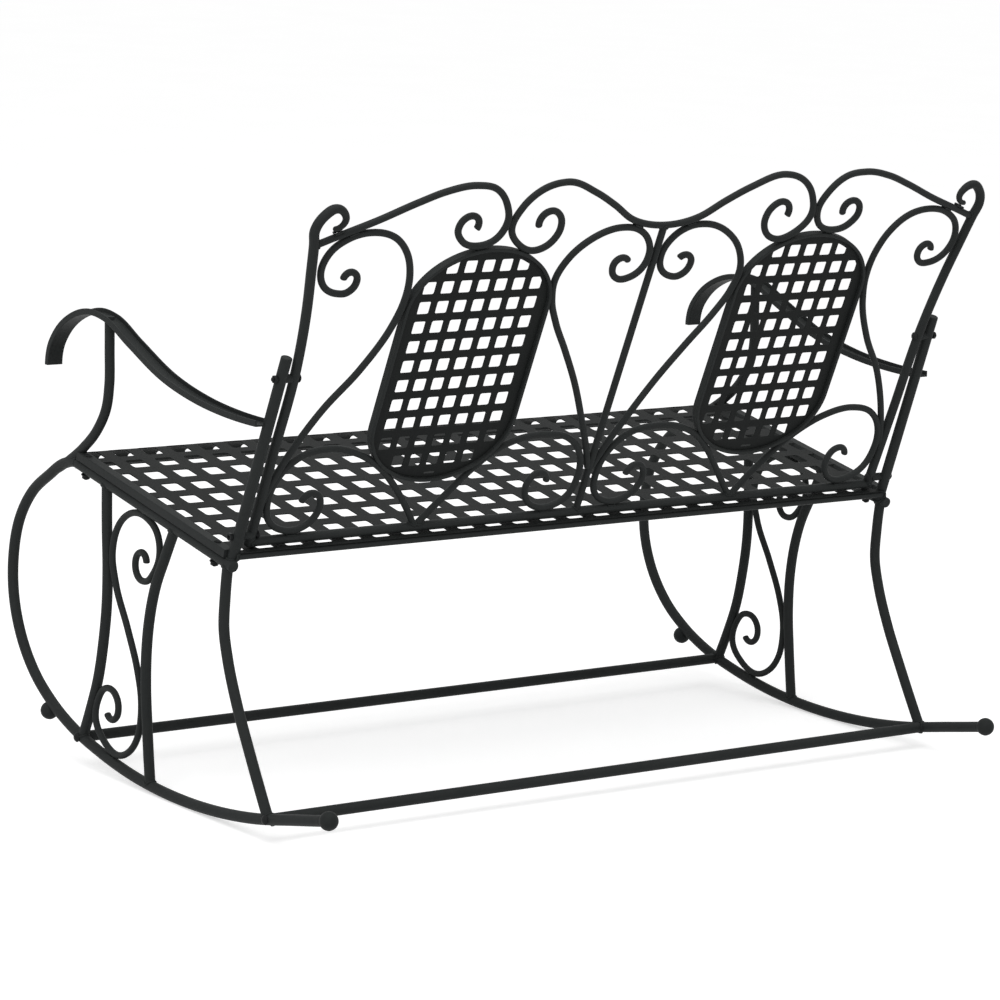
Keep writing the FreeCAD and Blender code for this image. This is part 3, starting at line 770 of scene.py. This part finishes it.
UPRIGHT_X = 568.0
RAIL_V = -463.8
UPRIGHT = [(UPRIGHT_X, -469.5), (UPRIGHT_X, -330), (UPRIGHT_X, -190), (577, -100), (587, -40),
           (594, 0), (598.5, 21), (589, 42)]
CURL = [(573, 52), (558, 45), (553, 33), (559, 24), (569, 22)]
TOP_RAIL = [(589, -1), (560, 10), (500, 32), (440, 57), (400, 71.5), (351, 79.5), (315, 73),
            (291, 50), (280.7, 20), (290, -2), (320, -13.9), (350, -5), (361.5, 14), (355, 29),
            (342, 33), (331, 26), (331, 12)]
HALF_CENTRE_RAIL = [(60, 17), (100, 41), (140, 62), (194.5, 80), (236, 69), (262, 42),
                    (270.3, 12), (250, -14.5), (218, -25), (194, -13), (185, 9), (192, 28),
                    (208, 36), (222, 29), (224, 12)]
CENTRE_RAIL = [(-x, v) for x, v in reversed(HALF_CENTRE_RAIL)] + [(0, 6)] + HALF_CENTRE_RAIL
OUTER_SCROLL = [(531, -56), (525, -46), (512, -49), (508, -63), (518, -76), (536, -77),
                (560, -65), (570.8, -43), (563, -12), (540, 6), (502, 14), (462, 4), (436, -21),
                (421.5, -55), (419.0, -97), (428, -134), (462, -200), (505, -258), (532, -307),
                (558, -372), (566, -400)]
INNER_SCROLL = [(46, -49), (56, -43.5), (68, -49), (69, -65), (56, -77), (36, -76), (17, -62),
                (11.5, -40), (24, -13), (45, 1), (76, 5), (125, -12), (155, -41), (167.5, -73),
                (162, -106), (143, -143), (112, -188), (75, -245), (40, -310), (15, -360),
                (3, -390)]
FORK_X = 290.0
LOWER_OUTER = [(FORK_X, RAIL_V), (335, -404), (380, -360), (425, -334), (480, -322.5),
               (524, -334), (550, -365), (555.6, -400), (545, -432), (518, -449), (492, -450),
               (470, -434), (465, -412), (475, -395), (490, -394), (498, -406)]
LOWER_INNER = [(FORK_X, RAIL_V), (250, -415), (215, -374), (180, -345), (145, -331),
               (100, -327), (58, -335), (28, -361), (16.5, -400), (25, -434), (52, -450.5),
               (82, -448), (103, -430), (106.5, -407), (94, -392), (79, -395), (73, -407)]


def in_back(points, side, start=None):
    return Line([on_back(side * x, v) for x, v in points], start)


def upright_line(side):
    """The upright and its curl, with the heading where the curl begins to thin."""
    line = in_back(UPRIGHT + CURL, side, BACK_UP)
    line.headings[len(UPRIGHT)] = (BACK_UP * 0.025 - ALONG * side).normalized()
    return line


for word, side in SIDES:
    rod(word + "_upright_tube", word + "_upright", upright_line(side), BACK_TUBE, edge=2.2,
        tip=CURL_TIP, taper=62.0, sides=20)
    for part, points in (("top_rail", TOP_RAIL), ("outer_scroll", OUTER_SCROLL),
                         ("inner_scroll", INNER_SCROLL), ("lower_outer_scroll", LOWER_OUTER),
                         ("lower_inner_scroll", LOWER_INNER)):
        rod(word + "_" + part + "_rod", word + "_" + part, in_back(points, side), ROD, edge=2.4)
rod("centre_top_rail_rod", "centre_top_rail", in_back(CENTRE_RAIL, 1), ROD, edge=2.4)
rod("centre_post_rod", "centre_post", in_back([(0, RAIL_V), (0, 4)], 1), CENTRE_ROD, step=12.0)
rod("back_bottom_rail_tube", "back_bottom_rail",
    in_back([(-UPRIGHT_X, RAIL_V), (UPRIGHT_X, RAIL_V)], 1), BACK_TUBE, sides=20, step=12.0)

# Ovals

OVAL_X = 291.0
OVAL_HALF = 124.0
OVAL_TOP = -17.0
OVAL_BOTTOM = -387.0
OVAL_CAP = 95.0
RING = 5.0
RING_DEEP = 12.0
OVAL_HOLE_PITCH = (30.3, 30.6)
OVAL_HOLE = (19.2, 19.0)
OVAL_HOLE_ROUND = 2.5
OVAL_EDGE = 6.0            # plain border of the sheet beside the ring
OVAL_FIRST_ROW = -15.2     # middle of the top row of holes
LEAST_HOLE = 40.0          # a hole that the border leaves smaller than this is left out
CAP_TOP = OVAL_TOP - OVAL_CAP
CAP_BOTTOM = OVAL_BOTTOM + OVAL_CAP


def oval_line(side, inset):
    """Closed line round an oval: half ellipses joined by straight sides."""
    across, cap = OVAL_HALF - inset, OVAL_CAP - inset
    points, ways = [], []
    for start, middle in ((0, CAP_TOP), (180, CAP_BOTTOM)):
        for step in range(9):
            angle = math.radians(start + step * 22.5)
            points.append(on_back(side * (OVAL_X + across * math.cos(angle)),
                                  middle + cap * math.sin(angle)))
            way = BACK_UP * (cap * math.cos(angle)) - ALONG * (side * across * math.sin(angle))
            ways.append(way.normalized())
    line = Line(points, closed=True)
    line.headings = ways
    return line


def flat_oval(inset, steps=48):
    """Outline of an oval in the flat, anticlockwise about the middle of its width."""
    across, cap = OVAL_HALF - inset, OVAL_CAP - inset
    outline = []
    for start, middle in ((0, CAP_TOP), (180, CAP_BOTTOM)):
        for k in range(steps + 1):
            angle = math.radians(start + 180 * k / steps)
            outline.append(Vector((across * math.cos(angle), middle + cap * math.sin(angle))))
    return outline


for word, side in SIDES:
    ring = oval_line(side, RING / 2)
    bar(word + "_oval_ring_bar", word + "_oval_ring", ring, rectangle(RING_DEEP, RING, 1.1), BACK_OUT)
    rods[word + "_oval_ring_bar"] = (ring, RING)
    border = flat_oval(RING + OVAL_EDGE)
    outlines, spots = [flat_oval(RING - 0.4)], []
    for column in range(-math.ceil(OVAL_HALF / OVAL_HOLE_PITCH[0]),
                        math.ceil(OVAL_HALF / OVAL_HOLE_PITCH[0]) + 1):
        for row in range(math.ceil((OVAL_TOP - OVAL_BOTTOM) / OVAL_HOLE_PITCH[1])):
            x, y = column * OVAL_HOLE_PITCH[0], OVAL_FIRST_ROW - row * OVAL_HOLE_PITCH[1]
            whole = window(OVAL_HOLE[0], OVAL_HOLE[1], OVAL_HOLE_ROUND, x, y)
            left = clipped(whole, border)
            if len(left) == len(whole) and abs(outline_area(left) - outline_area(whole)) < 0.01:
                spots.append((x, y))
            elif left and outline_area(left) > LEAST_HOLE:
                outlines.append(left)
    punched(word + "_oval_sheet", [word + "_oval_tall_strips", word + "_oval_wide_strips"], outlines,
            window(OVAL_HOLE[0], OVAL_HOLE[1], OVAL_HOLE_ROUND), spots, on_back(side * OVAL_X, 0),
            ALONG, BACK_UP)


# Balls, bolts, nuts, washers and spacers

def ringed(name, rings, hollow=False):
    """Mesh of rings of points in millimetres, seated at the origin: capped, or closed on itself."""
    count = len(rings[0])
    corners = [Vector(corner) * MM for ring in rings for corner in ring]
    faces = []
    for level in range(len(rings) if hollow else len(rings) - 1):
        low, high = level * count, (level + 1) % len(rings) * count
        for k in range(count):
            after = (k + 1) % count
            faces.append((low + k, low + after, high + after, high + k))
    if not hollow:
        top = (len(rings) - 1) * count
        faces += [tuple(range(count))[::-1], tuple(range(top, top + count))]
    mesh = bpy.data.meshes.new(name)
    mesh.from_pydata(corners, [], faces)
    return shown(bpy.data.objects.new(name, mesh))


def rounds(profile, facets):
    """Rings about Z through (radius, height) points."""
    turns = [2 * math.pi * k / facets for k in range(facets)]
    return [[(radius * math.cos(a), radius * math.sin(a), height) for a in turns]
            for radius, height in profile]


def points_with_axes(spots):
    """Loose points in the rest position, each with the axis that its copy turns to."""
    mesh = bpy.data.meshes.new("points")
    mesh.from_pydata([at_rest(place) for place, _ in spots], [], [])
    axes = mesh.attributes.new("axis", "FLOAT_VECTOR", "POINT")
    for item, (_, axis) in zip(axes.data, spots):
        item.vector = turned(axis)
    return bpy.data.objects.new("points", mesh)


def set_out(name, node, piece, spots, coat=bolt_coat, slot="fastener_finish"):
    """Copies of a piece at spots, each a place and an axis, that stand for a node."""
    values = {"Piece": piece, "Finish": coat}
    keep(settled(points_with_axes(spots), SET_OUT_TREE, values, name), [node], slot)
    bpy.data.objects.remove(piece)


FACE_SHARE = 0.97          # a nut's round face, as a share of its width across flats
CHAMFER = math.tan(math.radians(28))


def thread(radius, start, end, pitch=1.0, depth=0.3):
    """Profile of a bolt's threaded stretch, as rings."""
    turns = int(abs(end - start) / pitch)
    way = 1 if end > start else -1
    profile = []
    for k in range(turns):
        at = start + way * k * pitch
        profile += [(radius, at), (radius - depth, at + way * pitch / 2)]
    return profile


def dome(head, height, edge):
    """Profile of a low domed head from its seat to its crown."""
    radius = (head * head / 4 + (height - edge) ** 2) / (2 * (height - edge))
    widest = math.asin(head / 2 / radius)
    profile = [(head / 2 - 0.3, 0), (head / 2, 0.3), (head / 2, edge)]
    for k in range(1, 8):
        angle = widest * (1 - k / 8)
        profile.append((radius * math.sin(angle), height - radius + radius * math.cos(angle)))
    return profile + [(0.05, height)]


def bolt(shank, length, head, height):
    body = [(shank / 2 - 0.7, -length), (shank / 2 - 0.1, -length + 0.7)]
    body += thread(shank / 2 - 0.02, -length + 1.2, -length + 9.0)
    body += [(shank / 2 - 0.02, -length + 9.6), (shank / 2 - 0.02, 0)]
    return ringed("bolt", rounds(body + dome(head, height, min(1.0, height / 4)), 28))


def six_sided(across, height, facets=36):
    """Rings of a hexagonal nut: its round lower face, its full hexagon twice and its upper face."""
    face = across / 2 * FACE_SHARE
    rings = []
    for end, way in ((0, 0), (0, 1), (height, -1), (height, 0)):
        ring = []
        for k in range(facets):
            angle = 2 * math.pi * k / facets
            near = (angle + math.pi / 6) % (math.pi / 3) - math.pi / 6
            corner = across / 2 / math.cos(near)
            radius = corner if way else face
            level = end + way * (corner - face) * CHAMFER
            ring.append((radius * math.cos(angle), radius * math.sin(angle), level))
        rings.append(ring)
    return rings


def nut(across, height, hole):
    """Hexagonal nut with chamfered corners and an open bore."""
    low, high = rounds([(hole / 2, 0), (hole / 2, height)], 36)
    return ringed("nut", [low] + six_sided(across, height) + [high], hollow=True)


def collar(outside, inside, height, edge):
    """Round washer or spacer with softened edges and an open bore."""
    profile = [(inside / 2, 0), (outside / 2 - edge, 0), (outside / 2, edge),
               (outside / 2, height - edge), (outside / 2 - edge, height), (inside / 2, height)]
    return ringed("collar", rounds(profile, 32), hollow=True)


def ball():
    """Cast ball with a faint parting line round its middle."""
    radius = BALL / 2
    profile = []
    for k in range(1, 32):
        angle = math.pi * k / 32
        seam = 0.18 if k == 16 else 0.0
        profile.append(((radius - 0.18 + seam) * math.sin(angle), -(radius - 0.18) * math.cos(angle)))
    return ringed("ball", rounds(profile, 48))


for word, side in SIDES:
    for part, (y, z), axis in (("rear_ball", REAR_BALL, Vector((0, 0.985, 0.17))),
                               ("stop_ball", STOP_BALL, Vector((side, 0, 0)))):
        set_out(word + "_" + part + "_casting", word + "_" + part, ball(),
                [(on_frame(side, y, z), axis)], ball_coat, "ball_coating")

BOLT_GRIP = 28.0
FACE = FRAME_X + MAIN_TUBE / 2
heads = [(Vector((side * FACE, y, z)), ALONG * side) for _, side in SIDES
         for y, z in (FRONT_BAR, REAR_BAR)]
set_out("crossbar_bolt_set", "crossbar_bolts", bolt(8.0, MAIN_TUBE + BOLT_GRIP - 0.5, 14.0, 5.0), heads)

SEAT_BOLT_Y = (-197.0, 138.0)
WASHER_HIGH = 1.5
NUT_HIGH = 5.0
heads, washers, nuts = [], [], []
for _, side in SIDES:
    for y in SEAT_BOLT_Y:
        axis_point = on_frame(side, y, rail_height(y))
        from_plane = (axis_point - SEAT_ORIGIN).dot(SEAT_UP)
        heads.append((axis_point + SEAT_UP * (RAIL_TOP - from_plane), SEAT_UP))
        under = axis_point - SEAT_UP * (MAIN_TUBE / 2)
        washers.append((under, -SEAT_UP))
        nuts.append((under - SEAT_UP * WASHER_HIGH, -SEAT_UP))
        shank = (heads[-1][0] - nuts[-1][0]).length + NUT_HIGH + 1.5
set_out("seat_bolt_set", "seat_bolts", bolt(6.0, shank, 11.0, 3.0), heads)
set_out("seat_washer_set", "seat_washers", collar(15.0, 6.4, WASHER_HIGH, 0.3), washers)
set_out("seat_nut_set", "seat_nuts", nut(10.0, NUT_HIGH, 6.1), nuts)

BACK_BOLTS = ((284.1, 620.2), (181.5, 397.0))
inner = UPRIGHT_X - BACK_TUBE / 2
heads, nuts, collars = [], [], []
for y, z in BACK_BOLTS:
    share = (z - SUPPORT_FOOT[2]) / (SUPPORT_TOP[2] - SUPPORT_FOOT[2])
    axis_x = SUPPORT_FOOT[0] + (SUPPORT_TOP[0] - SUPPORT_FOOT[0]) * share
    for _, side in SIDES:
        heads.append((Vector((side * inner, y, z)), ALONG * -side))
        nuts.append((Vector((side * (axis_x + MAIN_TUBE / 2), y, z)), ALONG * side))
        collars.append((Vector((side * UPRIGHT_X, y, z)), ALONG * side))
set_out("back_bolt_set", "back_bolts", bolt(6.0, 42.5, 13.0, 4.0), heads)
set_out("back_nut_set", "back_nuts", nut(10.0, NUT_HIGH, 6.1), nuts)
set_out("back_spacer_set", "back_spacers", collar(12.0, 6.4, 20.0, 0.4), collars, tube_coat,
        "tube_coating")


# Welds: a bead round each rod that ends on another, and short beads where two rods touch

def ring_weld(end, way, width, other, heading, other_width):
    """Closed line where a rod that ends inside another comes out of it."""
    way = Vector(way)
    heading = Vector(heading)
    side = way.cross(heading).normalized()
    up = side.cross(way).normalized()
    points = []
    for k in range(16):
        angle = 2 * math.pi * k / 16
        spot = Vector(end) + (side * math.cos(angle) + up * math.sin(angle)) * (width / 2 + 0.3)
        flat = spot - Vector(other)
        flat -= heading * flat.dot(heading)
        drift = way - heading * way.dot(heading)
        a, b = drift.dot(drift), flat.dot(drift)
        c = flat.dot(flat) - (other_width / 2 + 0.3) ** 2
        points.append(spot - way * ((b + math.sqrt(max(b * b - a * c, 0.0))) / a))
    return points


def touch_welds(a, b, way, reach, gap):
    """Two short lines, one each side of the place where two rods lie side by side."""
    away = (b - a).normalized()
    out = way.cross(away).normalized()
    middle = (a + b) / 2
    lines = []
    for face in (-1, 1):
        crest = middle + out * (face * reach)
        lines.append(Line([crest - way * gap, crest, crest + way * gap]))
    return lines


LEAST_CROSSING = 0.85      # cosine over which a rod's end runs along its neighbour, with no ring
TOUCH_GAP = 1.2            # rods this near side by side are welded
TOUCH_SHARE = 0.72         # nearer than this share of touching, they are already joined
TOUCH_HALF = 7.0           # half the length of a short bead


def find_welds():
    rings, touches = [], []
    tracks = {name: line.samples() + (width,) for name, (line, width) in rods.items()}
    names = sorted(tracks)
    for i, first in enumerate(names):
        places, ways, width = tracks[first]
        low, high = places.min(0) - 20, places.max(0) + 20
        for second in names[i + 1:]:
            others, other_ways, other_width = tracks[second]
            if (others.max(0) < low).any() or (others.min(0) > high).any():
                continue
            apart = numpy.linalg.norm(places[:, None] - others[None], axis=2)
            reach = (width + other_width) / 2
            for one, two, w, ow, table in ((places, others, width, other_width, apart),
                                           (others, places, other_width, width, apart.T)):
                one_ways, two_ways = (ways, other_ways) if one is places else (other_ways, ways)
                for end, sign in ((0, -1), (-1, 1)):
                    near = table[end].argmin()
                    across = abs(numpy.dot(one_ways[end], two_ways[near])) < LEAST_CROSSING
                    if across and table[end][near] < ow / 2 + 0.5 and 0 < near < len(two) - 1:
                        rings.append(ring_weld(one[end], one_ways[end] * sign, w, two[near],
                                               two_ways[near], ow))
            closest = apart.min(1)
            for k in range(4, len(places) - 4):
                if reach * TOUCH_SHARE < closest[k] < reach + TOUCH_GAP \
                        and closest[k] == closest[k - 4:k + 5].min():
                    there = others[apart[k].argmin()]
                    touches += touch_welds(Vector(places[k]), Vector(there), Vector(ways[k]),
                                           min(width, other_width) * 0.30, TOUCH_HALF)
    return rings, touches


rings, touches = find_welds()


def closed_line(points):
    line = Line(points, closed=True)
    count = len(points)
    line.headings = [(points[(i + 1) % count] - points[i - 1]).normalized() for i in range(count)]
    return line


def weld_piece(name, lines, width):
    values = {"Width": width * MM, "Ripple": 2.2 * MM, "Step": 0.9 * MM, "Seed": 3.0,
              "Finish": weld_coat}
    keep(settled(curve_object(lines), WELD_TREE, values, name), [])


weld_piece("end_welds", [closed_line(points) for points in rings], 3.2)
weld_piece("side_welds", touches, 3.4)

# Floor, light and background

def seen_rays(tree):
    """1 for rays that show the surroundings, and 0 for those that only light the bench."""
    path = tree.add("ShaderNodeLightPath")
    return path["Is Camera Ray"].most(path["Is Glossy Ray"]).most(path["Is Transmission Ray"])


def plain_floor():
    material, tree = finish("floor")
    seen = seen_rays(tree)
    where = tree.add("ShaderNodeTexCoord")["Object"]
    colour = tree.mixed(tree.noise(where, 3.0, 3.0), (0.80, 0.80, 0.80, 1), (0.84, 0.84, 0.84, 1))
    matte = tree.add("ShaderNodeBsdfDiffuse", values={"Color": colour})
    glow = tree.add("ShaderNodeEmission", values={"Strength": seen * 0.5})
    both = tree.add("ShaderNodeAddShader", values={0: matte, 1: glow})
    tree.add("ShaderNodeOutputMaterial", values={"Surface": both})
    return material


mesh = bpy.data.meshes.new("floor")
mesh.from_pydata([(-40, -40, 0), (40, -40, 0), (40, 40, 0), (-40, 40, 0)], [], [(0, 1, 2, 3)])
mesh.materials.append(plain_floor())
floor = shown(bpy.data.objects.new("floor", mesh))

world = bpy.data.worlds.new("studio")
world.use_nodes = True
world.node_tree.nodes.clear()
sky = Tree(world.node_tree)
light = sky.add("ShaderNodeBackground", values={
    "Color": (1, 1, 1, 1), "Strength": 0.6 + seen_rays(sky) * 0.4})
sky.add("ShaderNodeOutputWorld", values={"Surface": light})
bpy.context.scene.world = world


def lamp(name, place, aim, size, power):
    """Square soft box that faces a point."""
    data = bpy.data.lights.new(name, "AREA")
    data.shape = "SQUARE"
    data.size = size
    data.energy = power
    data.use_shadow = True
    body = bpy.data.objects.new(name, data)
    body.location = place
    body.rotation_euler = (Vector(aim) - Vector(place)).to_track_quat("-Z", "Y").to_euler()
    shown(body)


lamp("overhead", (0.6, 0.6, 3.6), (0, 0, 0.4), 3.4, 60.0)
lamp("side", (3.2, 1.2, 2.2), (0, 0, 0.5), 2.4, 22.0)

for name, (piece, stands_for, slot) in pieces.items():
    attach(piece, "root")
    if stands_for:
        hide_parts(*stands_for)
